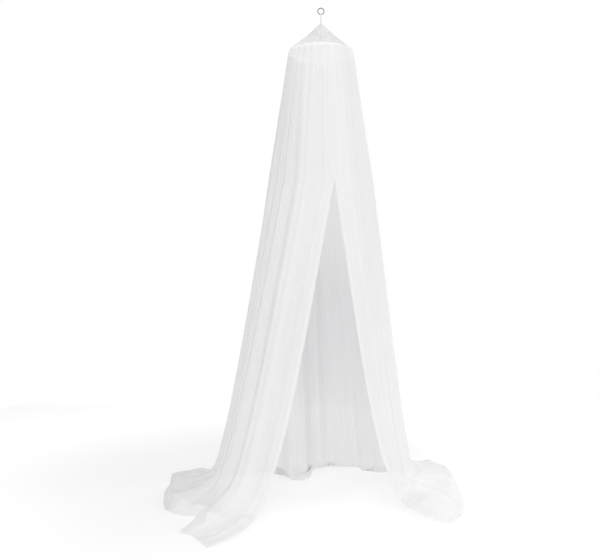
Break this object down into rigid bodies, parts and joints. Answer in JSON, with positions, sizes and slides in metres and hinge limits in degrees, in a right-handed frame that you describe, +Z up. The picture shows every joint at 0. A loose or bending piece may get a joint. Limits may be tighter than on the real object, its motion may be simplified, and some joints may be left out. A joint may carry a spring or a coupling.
{
  "type": "mosquito net canopy with its hoop and hanging ring",
  "caption": "Sheer white mosquito net canopy: a gathered point, a cone over a plastic hoop, a long flared skirt with a front slit and trailing hems, hung by a steel ring.",
  "frame": {"origin": "the point at the inside top of the hanging ring where a ceiling hook bears; the floor that the net's hems lie on is 2.396 m below", "axes": "+Z up along the canopy's axis; -Y towards the front, where the slit opens; +X to the right as seen from the front"},
  "size_m": [1.4692, 1.2501, 2.3974],
  "materials": {
    "net": "sheer white polyester net, soft and matt, with a denser hem along its edges",
    "hoop": "white plastic tube with a soft sheen",
    "ring": "dark grey steel wire",
    "tape": "narrow white woven tape"
  },
  "bodies": {
    "root": {"net": "net", "hoop": "hoop", "hanging_ring": "ring", "hanging_tape": "tape"}
  },
  "joints": []
}
